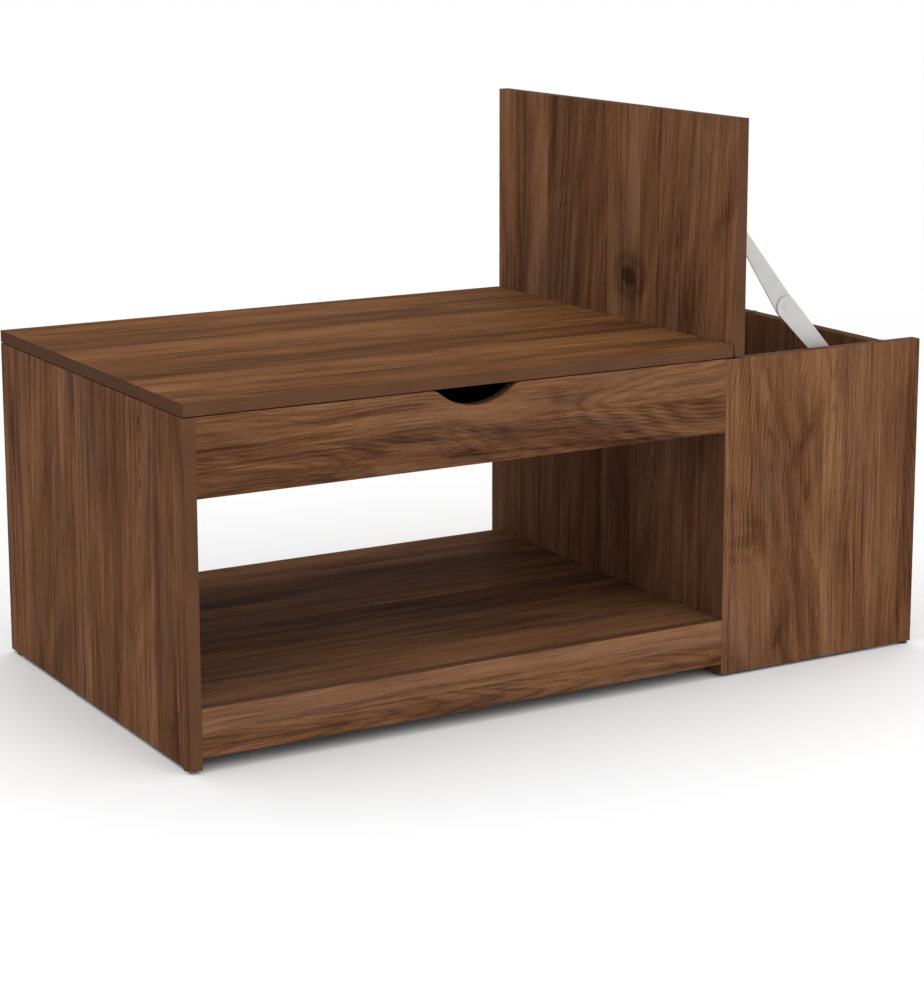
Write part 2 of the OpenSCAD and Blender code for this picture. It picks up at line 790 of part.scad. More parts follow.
left_side_panel();
divider_panel();
right_side_panel();
box_front_panel();
box_rear_panel();
box_floor();
main_top();
storage_lid();
front_apron();
rear_apron();
tray_floor();
shelf();
front_rail();
rear_rail();
glides();
top_bumpers();
rim_bumpers();
dowels();
cam_discs();
cam_bolts();
hinge_cups();
hinge_pins();
hinge_arms();
hinge_plates();
hinge_cup_screws();
hinge_plate_screws();
stay_box_bracket();
stay_lower_arm();
stay_knee_rivet();
stay_upper_arm();
stay_lid_bracket();
stay_box_screws();
stay_lid_screws();
lift_base_left();
lift_base_right();
lift_base_pins();
front_arm_left();
front_arm_right();
lift_cross_bar();
rear_arm_left();
rear_arm_right();
top_bracket_left();
top_bracket_right();
top_bracket_pins();
lift_springs();
lift_base_screws();
top_bracket_screws();
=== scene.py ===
"""Looks of the lift top coffee table: walnut foil boards with plain edge bands, and their fittings."""
import json
import math

import bpy
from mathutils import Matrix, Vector

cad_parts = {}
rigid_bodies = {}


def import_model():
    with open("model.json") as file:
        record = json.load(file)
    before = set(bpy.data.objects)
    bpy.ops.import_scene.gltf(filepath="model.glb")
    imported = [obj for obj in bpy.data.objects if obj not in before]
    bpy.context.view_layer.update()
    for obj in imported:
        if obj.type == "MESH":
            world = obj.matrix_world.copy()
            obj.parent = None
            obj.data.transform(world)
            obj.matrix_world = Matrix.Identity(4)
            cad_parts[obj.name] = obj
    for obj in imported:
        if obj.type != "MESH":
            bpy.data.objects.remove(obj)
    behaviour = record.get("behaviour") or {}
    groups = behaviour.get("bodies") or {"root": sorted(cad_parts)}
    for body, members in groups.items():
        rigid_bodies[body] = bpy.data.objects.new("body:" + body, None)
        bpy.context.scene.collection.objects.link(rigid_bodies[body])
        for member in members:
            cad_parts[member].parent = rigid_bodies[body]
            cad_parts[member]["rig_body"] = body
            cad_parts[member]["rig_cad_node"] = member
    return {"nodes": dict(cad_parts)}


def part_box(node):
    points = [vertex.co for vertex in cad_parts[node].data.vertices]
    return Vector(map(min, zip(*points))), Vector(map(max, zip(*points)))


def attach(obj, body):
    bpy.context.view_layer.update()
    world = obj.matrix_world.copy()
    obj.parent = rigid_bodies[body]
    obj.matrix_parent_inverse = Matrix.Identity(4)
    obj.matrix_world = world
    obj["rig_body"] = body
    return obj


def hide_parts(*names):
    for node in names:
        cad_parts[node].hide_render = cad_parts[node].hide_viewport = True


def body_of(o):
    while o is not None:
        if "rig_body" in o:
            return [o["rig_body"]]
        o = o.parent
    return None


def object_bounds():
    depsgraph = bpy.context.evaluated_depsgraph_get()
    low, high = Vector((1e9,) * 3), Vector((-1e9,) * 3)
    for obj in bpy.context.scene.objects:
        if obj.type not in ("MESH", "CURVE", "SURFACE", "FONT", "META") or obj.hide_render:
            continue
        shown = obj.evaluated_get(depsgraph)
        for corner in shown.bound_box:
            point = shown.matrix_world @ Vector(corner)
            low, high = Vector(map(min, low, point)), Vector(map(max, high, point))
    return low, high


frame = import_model()
nodes = frame["nodes"]
cad_low, cad_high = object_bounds()

MM = 0.001
AXES = {"X": 0, "Y": 1, "Z": 2}

# Nearly all of a noise lies between these two values
NOISE_LOW = 0.3
NOISE_HIGH = 0.7


# ---------- shader maths ----------

class Value:
    """A number socket that can be written into Python arithmetic."""

    def __init__(self, shop, socket):
        self.shop = shop
        self.socket = socket

    def _math(self, operation, *values):
        node = self.shop.node("ShaderNodeMath", {"operation": operation}, dict(enumerate(values)))
        return Value(self.shop, node.outputs[0])

    def _range(self, low, high, start, end, settings):
        node = self.shop.node("ShaderNodeMapRange", {"clamp": True, **settings},
                              {0: self, 1: low, 2: high, 3: start, 4: end})
        return Value(self.shop, node.outputs[0])

    def __add__(self, other):
        return self._math("ADD", self, other)

    __radd__ = __add__

    def __sub__(self, other):
        return self._math("SUBTRACT", self, other)

    def __rsub__(self, other):
        return self._math("SUBTRACT", other, self)

    def __mul__(self, other):
        return self._math("MULTIPLY", self, other)

    __rmul__ = __mul__

    def __truediv__(self, other):
        return self._math("DIVIDE", self, other)

    def __rtruediv__(self, other):
        return self._math("DIVIDE", other, self)

    def __pow__(self, power):
        return self._math("POWER", self, power)

    def __rpow__(self, base):
        return self._math("POWER", base, self)

    def root(self):
        return self._math("SQRT", self)

    def wave(self):
        """A sine wave from -1 to 1, one for each whole step of the value."""
        return self._math("SINE", self * (2 * math.pi))

    def bell(self, width):
        """1 where the value is 0, falling away over the width."""
        return self._math("EXPONENT", (self / width) * (self / width) * -1.0)

    def ramp(self, low, high, start=0.0, end=1.0):
        """The value moved from low..high to start..end, held at both ends."""
        return self._range(low, high, start, end, {})

    def spread(self, start, end):
        """A noise moved to start..end."""
        return self.ramp(NOISE_LOW, NOISE_HIGH, start, end)

    def smooth(self, low, high, start=0.0, end=1.0):
        """The value moved as a ramp moves it, but easing in and out."""
        return self._range(low, high, start, end, {"interpolation_type": "SMOOTHSTEP"})


class Shop:
    """One material, the nodes that are put into it, and the place of a point along X, Y and Z, in metres."""

    def __init__(self, name):
        self.material = bpy.data.materials.new(name)
        self.material.use_nodes = True
        self.tree = self.material.node_tree
        self.shader = self.tree.nodes["Principled BSDF"]
        coordinates = self.node("ShaderNodeTexCoord").outputs["Object"]
        split = self.node("ShaderNodeSeparateXYZ", None, {0: coordinates})
        self.place = [Value(self, split.outputs[axis]) for axis in range(3)]

    def node(self, kind, settings=None, values=None):
        """Adds a node of a kind, with its settings first and then the values or links of its sockets."""
        made = self.tree.nodes.new(kind)
        for name, value in (settings or {}).items():
            if name == "stops":
                self._stops(made.color_ramp, value)
            else:
                setattr(made, name, value)
        for key, value in (values or {}).items():
            self.put(made.inputs[key], value)
        return made

    def _stops(self, ramp, stops):
        while len(ramp.elements) < len(stops):
            ramp.elements.new(1.0)
        for element, (place, colour) in zip(ramp.elements, stops):
            element.position = place
            element.color = (*colour, 1.0)

    def put(self, socket, value):
        if isinstance(value, Value):
            value = value.socket
        if isinstance(value, bpy.types.NodeSocket):
            self.tree.links.new(value, socket)
        else:
            socket.default_value = value

    def vector(self, x, y, z):
        return self.node("ShaderNodeCombineXYZ", None, {0: x, 1: y, 2: z}).outputs[0]

    def noise(self, vector, detail=2.0, rough=0.5, twist=0.0):
        made = self.node("ShaderNodeTexNoise", {"noise_dimensions": "3D"},
                         {"Vector": vector, "Scale": 1.0, "Detail": detail, "Roughness": rough,
                          "Distortion": twist})
        return Value(self, made.outputs[0])

    def spots(self, per_metre, detail=2.0, rough=0.5):
        """Noise of one size in every direction."""
        return self.noise(self.vector(*[axis * per_metre for axis in self.place]), detail, rough)

    def lines(self, along, per_run, per_side, detail=2.0, rough=0.5):
        """Noise drawn out along one axis, with so many waves a metre along it and to its sides."""
        stretched = [axis * (per_run if k == AXES[along] else per_side) for k, axis in enumerate(self.place)]
        return self.noise(self.vector(*stretched), detail, rough)

    def colours(self, value, stops, interpolation="LINEAR"):
        made = self.node("ShaderNodeValToRGB", {"stops": stops}, {0: value})
        made.color_ramp.interpolation = interpolation
        return made.outputs[0]

    def two_tone(self, value, dark, light):
        return self.colours(value, [(NOISE_LOW, dark), (NOISE_HIGH, light)])

    def mix(self, factor, a, b):
        settings = {"data_type": "RGBA", "clamp_factor": True}
        return self.node("ShaderNodeMix", settings, {0: factor, 6: a, 7: b}).outputs[2]

    def tinted(self, colour, tint):
        made = self.node("ShaderNodeVectorMath", {"operation": "MULTIPLY"}, {0: colour, 1: tint})
        return made.outputs[0]

    def shade(self, factor, colour):
        """Multiplies a colour by a number."""
        return self.tinted(colour, self.vector(factor, factor, factor))

    def bump(self, height, strength, distance):
        values = {"Strength": strength, "Distance": distance, "Height": height}
        return self.node("ShaderNodeBump", None, values).outputs[0]

    def finish(self, **sockets):
        for name, value in sockets.items():
            self.put(self.shader.inputs[name.replace("_", " ")], value)
        return self.material


# ---------- walnut foil ----------

WALNUT = [(0.0, (0.036, 0.015, 0.008)), (0.28, (0.074, 0.031, 0.015)), (0.52, (0.132, 0.058, 0.027)),
          (0.76, (0.200, 0.094, 0.043)), (1.0, (0.270, 0.135, 0.064))]
PLUM_BROWN = (0.122, 0.062, 0.040)
PLUM_LIGHT = 1.7
FOIL_SHINE = 0.006

# The rings: how wide one is, how deep their heart lies below the cut, how steeply the arches climb, how far
# the clouds lean with them, and how much a slow bend and a fine ripple move them
RING_WIDTH = 5.5 * MM
HEART_CUT = 9.0 * MM
ARCH_RISE = 0.65
LEAN = 0.9
RINGS_WANDER = 0.09
RINGS_RIPPLE = 1.1

# How strongly each part of the figure shows in the light value, which runs from 0, darkest, to 1
STAVE_CONTRAST = 1.35
EVEN_TONE = -0.10
CLOUD_DEPTH = 0.75
STREAK_DEPTH = 0.62
FAINT_LINE = 0.02
BOLD_LINE = 0.22
LINE_SHARPNESS = 3.0
VEIN_DEPTH = 0.20
PORE_DEPTH = 0.20

# A knot: how far its dark and its pull on the rings reach, in its own sizes, how many rings a fully dark one
# pushes aside, how its swirls run, and how much fine ripples and slow bends move it
BURN_REACH = 0.95
PULL_REACH = 1.8
RINGS_PUSHED = 9.0
SWIRLS = 1.2
SWIRL_DEPTH = 0.3
SWIRL_LEVEL = 0.85
SWIRL_RIPPLE = 0.9
KNOT_RIPPLE = 0.8
KNOT_WANDER = 0.06

# A curl: how softly it starts and ends, as a share of the board's width, and how far its bands wander
CURL_EDGE = 0.06
CURL_WANDER = 0.34


def stave_marks(shop, across, staves):
    """The tone, heart and arch of the stave that a place across the board belongs to."""
    stops = [(start, (tone, heart, arch)) for start, tone, heart, arch in staves]
    split = shop.node("ShaderNodeSeparateColor", None, {0: shop.colours(across, stops, "CONSTANT")})
    return [Value(shop, split.outputs[k]) for k in range(3)]


def walnut_foil(name, node, along, across, staves, knots=(), curl=None, plum_share=0.6, tint=None, seed=0.0):
    """Planked walnut foil, with its grain along one axis and its staves side by side across another.

    Each stave is (start, tone, heart, arch): where it starts across the board, how light it is, where its
    arches are centred and how far they rise, with 0.5 for straight grain.
    Each knot is (along, across, length, width, lean, depth): the first two are shares of the board, the next
    two metres, the lean is sideways per metre of grain, and the depth is how dark its middle is.
    The curl, (from, to, pitch, lean, depth), is a stretch of the board's width with wavy bands across the
    grain.
    The plum share is how much of the foil turns a cooler brown, and the tint warms or cools the board."""
    shop = Shop(name)
    low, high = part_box(node)
    i, j = AXES[along], AXES[across]
    length, width = high[i] - low[i], high[j] - low[j]
    run = shop.place[i] - low[i]
    side = shop.place[j] - low[j]

    def figure(per_run, per_side, layer, at=side, **texture):
        """Noise drawn out along the grain, with so many waves a metre along it and across it."""
        return shop.noise(shop.vector(run * per_run, at * per_side, layer), **texture)

    tone, heart, arch = stave_marks(shop, side / width, staves)
    plank = tone * 37.0 + heart * 53.0 + seed
    slow_bend = figure(2.2, 6.0, seed) - 0.5
    ripple = figure(11.0, 45.0, plank, detail=3.0, rough=0.55) - 0.5
    off_heart = side - heart * width + slow_bend * RINGS_WANDER
    climb = run * (arch - 0.5)
    lean = climb * LEAN
    rings = (off_heart * off_heart + HEART_CUT ** 2).root() + climb * ARCH_RISE
    rings = rings / RING_WIDTH + ripple * RINGS_RIPPLE

    burn = None
    for at_run, at_side, knot_length, knot_width, knot_lean, depth in knots:
        up = run - at_run * length
        far_run = up / knot_length
        far_side = (side - at_side * width - up * knot_lean + slow_bend * KNOT_WANDER) / knot_width
        reach = (far_run * far_run + far_side * far_side).root()
        rings = rings + reach.bell(PULL_REACH) * (depth * RINGS_PUSHED)
        swirl = (reach * SWIRLS + ripple * SWIRL_RIPPLE).wave() * SWIRL_DEPTH + SWIRL_LEVEL
        heat = (reach + ripple * KNOT_RIPPLE).bell(BURN_REACH) * swirl * depth
        burn = heat if burn is None else burn + heat

    line = (rings.wave() * 0.5 + 0.5) ** LINE_SHARPNESS
    boldness = figure(3.5, 16.0, plank + 4.0).ramp(0.38, 0.64, FAINT_LINE, BOLD_LINE)
    cloud = figure(4.2, 20.0, plank, off_heart + lean, detail=3.0, rough=0.6, twist=0.6) - 0.5
    streak = figure(2.4, 95.0, plank + 2.0, side + lean * 0.3) - 0.5
    vein = figure(1.9, 150.0, plank + 8.0, side + slow_bend * 0.03, detail=1.0).smooth(0.60, 0.74)
    fibre = figure(9.0, 700.0, seed + 9.0, detail=3.0, rough=0.66) - 0.5
    pore = figure(42.0, 1250.0, seed + 2.0).ramp(0.54, 0.68)
    light = tone * STAVE_CONTRAST + EVEN_TONE + cloud * CLOUD_DEPTH + streak * STREAK_DEPTH + fibre
    light = light - line * boldness - vein * VEIN_DEPTH - pore * PORE_DEPTH

    if curl is not None:
        start, end, pitch, slant, depth = curl
        band = ((run + side * slant + slow_bend * CURL_WANDER) / pitch).wave()
        share = side / width
        shown = share.smooth(start, start + CURL_EDGE) * share.smooth(end, end - CURL_EDGE)
        light = light + band * shown * boldness * (depth / BOLD_LINE)
    if burn is not None:
        light = light - burn

    plum = figure(3.6, 15.0, plank + 6.0, side + lean, twist=0.6).smooth(0.48, 0.72)
    plum_brown = shop.shade(light * PLUM_LIGHT, PLUM_BROWN)
    colour = shop.mix(plum * plum_share, shop.colours(light, WALNUT), plum_brown)
    if tint is not None:
        colour = shop.tinted(colour, tint)
    return shop.finish(Base_Color=colour, Roughness=fibre.ramp(-0.25, 0.25, 0.58, 0.72),
                       Normal=shop.bump(fibre - pore, 0.4, 0.12 * MM), Specular_IOR_Level=FOIL_SHINE)


# ---------- other finishes ----------

BAND_BROWNS = [(0.25, (0.098, 0.046, 0.024)), (0.55, (0.130, 0.061, 0.032)), (0.8, (0.158, 0.076, 0.040))]
CHIP_BROWNS = [(0.3, (0.13, 0.08, 0.04)), (0.5, (0.36, 0.25, 0.14)), (0.7, (0.52, 0.40, 0.26))]


def edge_band(name, along, tone):
    """Plain walnut plastic edging, with faint lines along the band."""
    shop = Shop(name)
    line = shop.lines(along, 9.0, 420.0, detail=3.0, rough=0.6)
    cloud = shop.spots(14.0)
    browns = [(place, [part * tone for part in brown]) for place, brown in BAND_BROWNS]
    return shop.finish(Base_Color=shop.colours(line * 0.45 + cloud * 0.55, browns),
                       Roughness=cloud.spread(0.42, 0.55), Normal=shop.bump(line, 0.2, 0.06 * MM),
                       Specular_IOR_Level=FOIL_SHINE)


def chipboard():
    """The bare core that shows inside a bore."""
    shop = Shop("chipboard core")
    chips = shop.spots(380.0, detail=4.0, rough=0.7)
    return shop.finish(Base_Color=shop.colours(chips, CHIP_BROWNS), Roughness=0.85,
                       Normal=shop.bump(chips, 0.6, 0.5 * MM))


def beech():
    shop = Shop("beech dowel")
    line = shop.lines("X", 60.0, 700.0, detail=3.0)
    return shop.finish(Base_Color=shop.two_tone(line, (0.42, 0.25, 0.12), (0.62, 0.42, 0.24)), Roughness=0.7,
                       Normal=shop.bump(line, 0.4, 0.2 * MM))


def painted_steel(name, light, dark, rough):
    """Powder coat: a fine orange peel, with faint mottling in its colour and its shine."""
    shop = Shop(name)
    peel = shop.spots(900.0)
    mottle = shop.spots(35.0, detail=3.0)
    return shop.finish(Base_Color=shop.two_tone(mottle, dark, light),
                       Roughness=mottle.spread(rough, rough + 0.12),
                       Normal=shop.bump(peel, 0.25, 0.05 * MM), Metallic=0.15)


def plated(name, light, dark, along, rough):
    """Zinc or nickel plate, with drawn lines along one axis and cloudy patches."""
    shop = Shop(name)
    drawn = shop.lines(along, 40.0, 2400.0)
    cloud = shop.spots(160.0, detail=3.0)
    return shop.finish(Base_Color=shop.two_tone(cloud * 0.6 + drawn * 0.4, dark, light), Metallic=1.0,
                       Roughness=(cloud * 0.5 + drawn * 0.5).spread(rough, rough + 0.16),
                       Normal=shop.bump(drawn, 0.15, 0.03 * MM))


def plastic(name, light, dark, rough, shine):
    """Moulded plastic or rubber, with a fine spark-eroded texture."""
    shop = Shop(name)
    spark = shop.spots(1300.0)
    cloud = shop.spots(90.0)
    return shop.finish(Base_Color=shop.two_tone(cloud, dark, light),
                       Roughness=spark.spread(rough, rough + 0.1),
                       Normal=shop.bump(spark, 0.3, 0.08 * MM), Specular_IOR_Level=shine)


# ---------- shaping ----------

MERGE_WITHIN = 0.002 * MM
FLAT_WITHIN = math.radians(0.5)
HARD_EDGE = math.radians(25)
SQUARE_ON = 0.9995
EASING_RINGS = 2
EASING_SHAPE = 0.6


def only(piece):
    """Deselects everything, then selects one piece and makes it active."""
    bpy.ops.object.select_all(action="DESELECT")
    piece.select_set(True)
    bpy.context.view_layer.objects.active = piece


def merged_copy(name, node):
    """A copy of a CAD node with its loose triangles merged into clean flat faces."""
    piece = nodes[node].copy()
    piece.data = nodes[node].data.copy()
    piece.name = name
    piece.parent = None
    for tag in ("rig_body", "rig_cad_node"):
        if tag in piece:
            del piece[tag]
    bpy.context.scene.collection.objects.link(piece)
    piece.data.materials.clear()
    only(piece)
    bpy.ops.object.mode_set(mode="EDIT")
    bpy.ops.mesh.select_all(action="SELECT")
    bpy.ops.mesh.remove_doubles(threshold=MERGE_WITHIN)
    bpy.ops.mesh.dissolve_limited(angle_limit=FLAT_WITHIN)
    bpy.ops.mesh.select_all(action="DESELECT")
    bpy.ops.object.mode_set(mode="OBJECT")
    return piece


def outward_axis(normal):
    """The axis that a face looks along, or None where it is on the slant."""
    for axis in range(3):
        if abs(normal[axis]) > SQUARE_ON:
            return axis
    return None


def select_hard_edges(mesh, untouched):
    """Selects the edges that turn sharply, apart from those of the faces in the untouched slot."""
    beside = {}
    for face in mesh.polygons:
        face.select = False
        for key in face.edge_keys:
            beside.setdefault(key, []).append(face)
    for vertex in mesh.vertices:
        vertex.select = False
    for edge in mesh.edges:
        edge.select = False
    for edge in mesh.edges:
        pair = beside.get(edge.key, [])
        if len(pair) == 2 and all(face.material_index != untouched for face in pair):
            if pair[0].normal.angle(pair[1].normal) > HARD_EDGE:
                edge.select = True
                for k in edge.vertices:
                    mesh.vertices[k].select = True


def ease(piece, width, untouched=None):
    """Eases a piece's hard edges. Nothing grows past the size it had."""
    mesh = piece.data
    low = [min(vertex.co[axis] for vertex in mesh.vertices) for axis in range(3)]
    high = [max(vertex.co[axis] for vertex in mesh.vertices) for axis in range(3)]
    select_hard_edges(mesh, untouched)
    only(piece)
    bpy.context.tool_settings.mesh_select_mode = (False, True, False)
    bpy.ops.object.mode_set(mode="EDIT")
    bpy.ops.mesh.bevel(offset=width, segments=EASING_RINGS, profile=EASING_SHAPE, affect="EDGES",
                       clamp_overlap=True)
    bpy.ops.mesh.select_all(action="DESELECT")
    bpy.ops.object.mode_set(mode="OBJECT")
    bpy.context.tool_settings.mesh_select_mode = (True, False, False)
    for vertex in mesh.vertices:
        vertex.co = [min(max(vertex.co[axis], low[axis]), high[axis]) for axis in range(3)]
    for face in mesh.polygons:
        face.use_smooth = outward_axis(face.normal) is None


def stand_for(piece, node):
    """Puts a piece in the place of a CAD node, on the same body."""
    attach(piece, body_of(nodes[node])[0])
    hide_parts(node)


def eased_steel(node, ending, material, width):
    """A steel part with its edges eased."""
    piece = merged_copy(node + ending, node)
    piece.data.materials.append(material)
    ease(piece, width)
    stand_for(piece, node)


def dress(material, *names):
    """Gives a finish to parts that keep the shape they already have."""
    for name in names:
        part = nodes[name]
        part.data.materials.clear()
        part.data.materials.append(material)


# ---------- boards ----------

# A board's material slots: its foil, the bands that run along X, Y and Z, and the core
FOIL, FIRST_BAND, CORE = 0, 1, 4
FLUSH = 0.01 * MM
BOARD_EASING = 0.7 * MM

core = chipboard()
bands = [edge_band("edge band along the table", "X", 0.80),
         edge_band("edge band across the table", "Y", 0.56),
         edge_band("edge band of an upright board", "Z", 0.84)]


def board(node, finish, along, across, staves, shaped=None, **figure):
    """One board: its foil faces, its banded edges and, inside its bores, the bare core.

    The shaped pair is a test that says which slanting faces are banded too, and the way their band runs."""
    foil = walnut_foil(finish, node, along, across, staves, **figure)
    piece = merged_copy(node + ".board", node)
    low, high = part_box(node)
    size = high - low
    thin = min(range(3), key=lambda axis: size[axis])
    for material in (foil, *bands, core):
        piece.data.materials.append(material)
    for face in piece.data.polygons:
        axis = outward_axis(face.normal)
        face.material_index = CORE
        if axis is not None and min(face.center[axis] - low[axis], high[axis] - face.center[axis]) < FLUSH:
            third_axis = 3 - thin - axis
            face.material_index = FOIL if axis == thin else FIRST_BAND + third_axis
        elif shaped is not None and shaped[0](face.center):
            face.material_index = FIRST_BAND + AXES[shaped[1]]
    ease(piece, BOARD_EASING, untouched=CORE)
    stand_for(piece, node)


LID_ROUNDING = 6 * MM
NOTCH_DEPTH = 30 * MM
NOTCH_WIDTH = 130 * MM

lid_low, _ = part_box("storage_lid")
apron_low, apron_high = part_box("front_apron")
apron_middle = (apron_low + apron_high) / 2


def beside_hinge(centre):
    """The lid's two rounded edges."""
    return centre.z < lid_low.z + LID_ROUNDING


def in_notch(centre):
    """The scoop in the upper edge of the front band."""
    return centre.z > apron_high.z - NOTCH_DEPTH and abs(centre.x - apron_middle.x) < NOTCH_WIDTH / 2


board("left_side_panel", "walnut of the left side", "Z", "Y",
      [(0.0, 0.43, 0.06, 0.46), (0.154, 0.54, 0.24, 0.72), (0.28, 0.46, 0.36, 0.60), (0.42, 0.43, 0.50, 0.5),
       (0.506, 0.54, 0.58, 0.47), (0.66, 0.47, 0.74, 0.80), (0.83, 0.50, 0.92, 0.46)],
      knots=[(0.09, 0.09, 0.030, 0.020, 0.0, 0.14), (0.78, 0.75, 0.050, 0.008, 0.0, 0.14)], seed=3.0)
board("divider_panel", "walnut of the divider", "Z", "Y",
      [(0.0, 0.48, 0.08, 0.46), (0.16, 0.55, 0.26, 0.78), (0.36, 0.42, 0.45, 0.56), (0.55, 0.51, 0.66, 0.76),
       (0.78, 0.45, 0.88, 0.54)], seed=11.0)
board("right_side_panel", "walnut of the right side", "Z", "Y",
      [(0.0, 0.58, 0.12, 0.5), (0.24, 0.68, 0.36, 0.72), (0.50, 0.55, 0.58, 0.5), (0.66, 0.64, 0.82, 0.72)],
      seed=17.0)
board("box_front_panel", "walnut of the box front", "Z", "X",
      [(0.0, 0.56, 0.20, 0.70), (0.24, 0.50, 0.53, 0.92), (0.50, 0.60, 0.54, 0.5), (0.58, 0.54, 0.68, 0.53),
       (0.80, 0.51, 0.86, 0.46), (0.90, 0.43, 1.02, 0.40)],
      knots=[(0.42, 0.08, 0.026, 0.040, 0.1, 0.26), (0.56, 0.03, 0.018, 0.014, 0.4, 0.14),
             (0.73, 0.42, 0.046, 0.012, 0.6, 0.20), (0.55, 0.44, 0.036, 0.009, 0.2, 0.16),
             (0.09, 0.26, 0.040, 0.013, 0.5, 0.22)],
      curl=(0.02, 0.50, 0.090, 1.8, 0.04), seed=5.0)
# Painted light: the box back's stave tones are set lighter than the other boards' so that its inner face,
# which lies in shade inside the box, shows lighter
board("box_rear_panel", "walnut of the box back", "Z", "X",
      [(0.0, 0.62, 0.08, 0.46), (0.20, 0.70, 0.33, 0.80), (0.47, 0.58, 0.56, 0.56), (0.66, 0.66, 0.80, 0.76)],
      seed=23.0)
board("box_floor", "walnut of the box floor", "Y", "X",
      [(0.0, 0.51, 0.2, 0.5), (0.38, 0.59, 0.5, 0.62), (0.70, 0.49, 0.85, 0.5)], seed=29.0)
board("main_top", "walnut of the lift top", "X", "Y",
      [(0.0, 0.49, 0.05, 0.48), (0.13, 0.59, 0.19, 0.56), (0.27, 0.42, 0.35, 0.47), (0.40, 0.53, 0.47, 0.60),
       (0.55, 0.60, 0.60, 0.5), (0.66, 0.45, 0.73, 0.54), (0.80, 0.54, 0.90, 0.60)],
      plum_share=0.15, tint=(0.94, 0.89, 0.74), seed=7.0)
board("storage_lid", "walnut of the storage lid", "Z", "Y",
      [(0.0, 0.54, 0.22, 0.84), (0.375, 0.63, 0.44, 0.5), (0.505, 0.44, 0.52, 0.80), (0.77, 0.57, 0.90, 0.60),
       (0.865, 0.43, 0.90, 0.5), (0.915, 0.53, 0.97, 0.47)], shaped=(beside_hinge, "Y"),
      knots=[(0.24, 0.415, 0.028, 0.038, 0.0, 0.50), (0.36, 0.385, 0.060, 0.009, -0.15, 0.20),
             (0.12, 0.405, 0.035, 0.016, 0.0, 0.18), (0.16, 0.17, 0.055, 0.018, 0.1, 0.22),
             (0.15, 0.27, 0.050, 0.010, -0.2, 0.16)],
      curl=(0.50, 0.80, 0.30, 4.0, 0.05), seed=2.0)
board("front_apron", "walnut of the front band", "X", "Z",
      [(0.0, 0.44, 0.10, 0.74), (0.50, 0.54, 0.78, 0.52)], shaped=(in_notch, "X"),
      knots=[(0.66, 0.74, 0.040, 0.010, 0.05, 0.28), (0.30, 0.20, 0.055, 0.008, 0.25, 0.14),
             (0.48, 0.16, 0.060, 0.009, 0.25, 0.16)],
      curl=(-0.2, 0.52, 0.050, 1.35, 0.10), seed=13.0)
board("rear_apron", "walnut of the rear band", "X", "Z",
      [(0.0, 0.50, 0.2, 0.6), (0.55, 0.57, 0.8, 0.5)], seed=19.0)
board("tray_floor", "walnut of the tray", "X", "Y",
      [(0.0, 0.46, 0.1, 0.5), (0.22, 0.54, 0.3, 0.6), (0.46, 0.42, 0.55, 0.5), (0.70, 0.52, 0.82, 0.6)],
      seed=31.0)
board("shelf", "walnut of the shelf", "X", "Y",
      [(0.0, 0.62, 0.06, 0.5), (0.17, 0.50, 0.24, 0.47), (0.33, 0.39, 0.40, 0.54), (0.50, 0.54, 0.58, 0.60),
       (0.66, 0.44, 0.72, 0.46), (0.80, 0.56, 0.90, 0.58)], seed=37.0)
board("front_rail", "walnut of the front rail", "X", "Z",
      [(0.0, 0.53, 0.15, 0.62), (0.48, 0.65, 0.75, 0.5)], seed=41.0)
board("rear_rail", "walnut of the rear rail", "X", "Z", [(0.0, 0.52, 0.3, 0.5)], seed=43.0)


# ---------- fittings ----------

stay_grey = painted_steel("light grey powder coat", (0.52, 0.50, 0.50), (0.46, 0.445, 0.445), 0.38)
lift_steel = painted_steel("black lift mechanism paint", (0.020, 0.020, 0.021), (0.011, 0.011, 0.012), 0.40)
zinc = plated("bright zinc plate", (0.62, 0.63, 0.64), (0.46, 0.47, 0.49), "X", 0.24)
nickel = plated("nickel plate", (0.66, 0.64, 0.61), (0.52, 0.50, 0.48), "Y", 0.16)
spring_wire = plated("spring wire", (0.30, 0.30, 0.31), (0.16, 0.16, 0.17), "X", 0.26)
black_plastic = plastic("black nylon glide", (0.022, 0.022, 0.023), (0.012, 0.012, 0.012), 0.45, 0.50)
clear_rubber = plastic("clear bumper", (0.150, 0.100, 0.074), (0.120, 0.078, 0.057), 0.40, 0.10)

for arm in ("stay_lower_arm", "stay_upper_arm"):
    eased_steel(arm, ".steel", stay_grey, 0.5 * MM)
for bracket in ("stay_box_bracket", "stay_lid_bracket"):
    eased_steel(bracket, ".steel", stay_grey, 0.3 * MM)
for lift_part in ("front_arm_left", "front_arm_right", "rear_arm_left", "rear_arm_right", "lift_base_left",
                  "lift_base_right", "top_bracket_left", "top_bracket_right"):
    eased_steel(lift_part, ".steel", lift_steel, 0.4 * MM)
for hinge_part in ("hinge_arms", "hinge_plates", "hinge_cups"):
    eased_steel(hinge_part, ".plated", nickel, 0.25 * MM)

dress(zinc, "cam_discs", "cam_bolts", "hinge_pins", "hinge_cup_screws", "hinge_plate_screws",
      "stay_box_screws", "stay_lid_screws", "lift_base_screws", "top_bracket_screws", "lift_base_pins",
      "top_bracket_pins")
dress(lift_steel, "lift_cross_bar")
dress(stay_grey, "stay_knee_rivet")
dress(spring_wire, "lift_springs")
dress(black_plastic, "glides")
dress(clear_rubber, "top_bumpers", "rim_bumpers")
dress(beech(), "dowels")


# ---------- floor, light and camera ----------

FLOOR_SIZE = 30.0
NEAR_FLOOR = 1.3
FAR_FLOOR = 3.2
FLOOR_STRETCH = 1.25
WHITE = (1.0, 1.0, 1.0, 1.0)

CAMERA_PLACE = Vector((-1.7364, -3.0047, 1.0296))
CAMERA_HEADING = 0.533
CAMERA_DIP = 0.1934
CAMERA_LENS = 93.3
CAMERA_SHIFT = (-0.0238, -0.1)


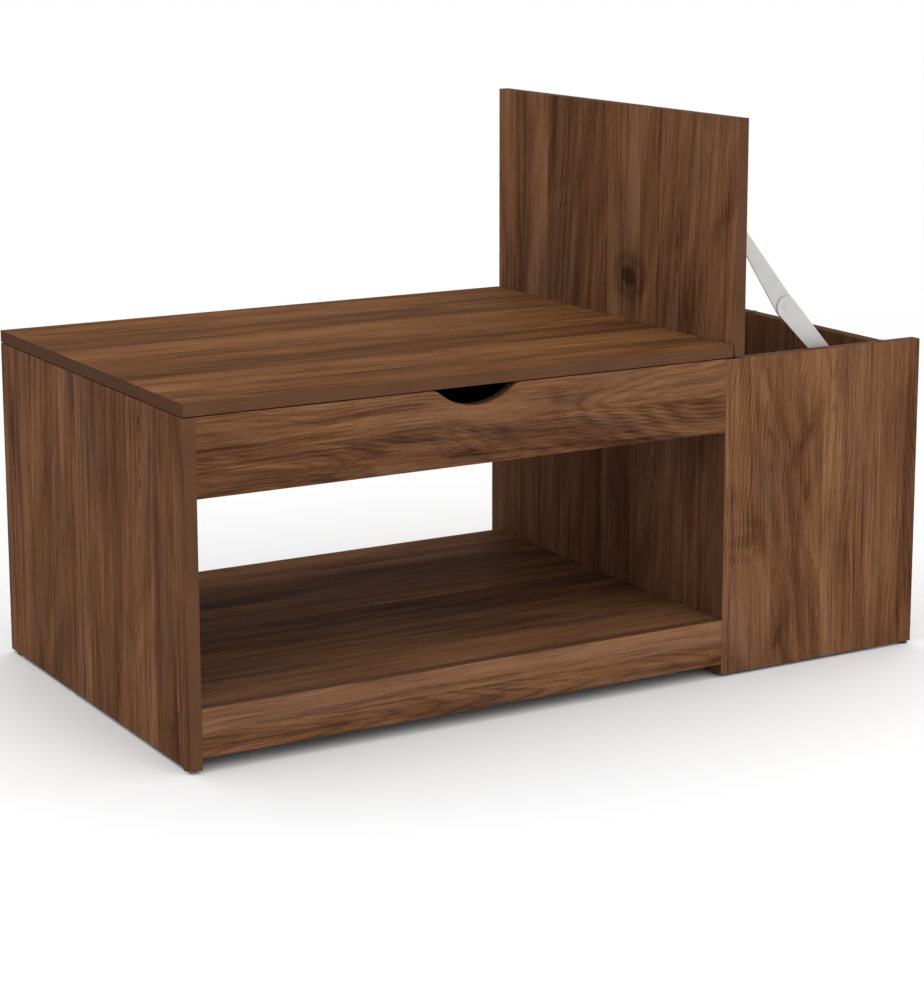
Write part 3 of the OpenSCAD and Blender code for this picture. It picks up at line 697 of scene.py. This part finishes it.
def pale_floor():
    """A pale matt floor that fades into the white backdrop further out."""
    shop = Shop("pale floor")
    x, y, _ = shop.place
    across = x / FLOOR_STRETCH
    away = (across * across + y * y).root()
    cloud = shop.noise(shop.vector(x * 1.5, y * 1.5, 0.0))
    shop.finish(Base_Color=shop.colours(cloud, [(0.2, (0.90, 0.90, 0.905)), (0.8, (0.92, 0.92, 0.92))]),
                Roughness=0.75)
    backdrop = shop.node("ShaderNodeEmission", None, {"Color": WHITE, "Strength": 1.0})
    fade = away.smooth(NEAR_FLOOR, FAR_FLOOR)
    blend = shop.node("ShaderNodeMixShader", None,
                      {0: fade, 1: shop.shader.outputs[0], 2: backdrop.outputs[0]})
    shop.put(shop.tree.nodes["Material Output"].inputs["Surface"], blend.outputs[0])
    return shop.material


def softbox(name, place, size, power):
    """A square soft light that faces the middle of the table."""
    data = bpy.data.lights.new(name, "AREA")
    data.shape = "SQUARE"
    data.size = size
    data.energy = power
    lamp = bpy.data.objects.new(name, data)
    bpy.context.scene.collection.objects.link(lamp)
    lamp.location = place
    table_middle = (cad_low + cad_high) / 2
    lamp.rotation_euler = (table_middle - Vector(place)).to_track_quat("-Z", "Y").to_euler()


def white_studio():
    world = bpy.data.worlds.new("white studio")
    world.use_nodes = True
    background = world.node_tree.nodes["Background"]
    background.inputs["Color"].default_value = WHITE
    background.inputs["Strength"].default_value = 1.0
    bpy.context.scene.world = world
    bpy.context.scene.view_settings.view_transform = "Standard"
    bpy.context.scene.view_settings.look = "None"


def place_camera():
    """The camera looks along its heading, measured from +Y towards +X, and dips below the level."""
    data = bpy.data.cameras.new("camera")
    data.lens = CAMERA_LENS
    data.shift_x, data.shift_y = CAMERA_SHIFT
    camera = bpy.data.objects.new("camera", data)
    bpy.context.scene.collection.objects.link(camera)
    camera.location = CAMERA_PLACE
    level = math.cos(CAMERA_DIP)
    ahead = Vector((math.sin(CAMERA_HEADING) * level, math.cos(CAMERA_HEADING) * level,
                    -math.sin(CAMERA_DIP)))
    camera.rotation_euler = ahead.to_track_quat("-Z", "Y").to_euler()
    bpy.context.scene.camera = camera


bpy.ops.object.select_all(action="DESELECT")
bpy.ops.mesh.primitive_plane_add(size=FLOOR_SIZE, location=(0.0, 0.0, 0.0))
floor = bpy.context.object
floor.name = "studio_floor"
floor.data.materials.append(pale_floor())

white_studio()
softbox("front_softbox", (0.6, -3.2, 2.2), 1.8, 27.0)
softbox("left_softbox", (-1.9, -0.4, 2.9), 1.6, 9.0)
softbox("top_softbox", (0.0, 0.4, 3.2), 2.0, 10.0)
place_camera()
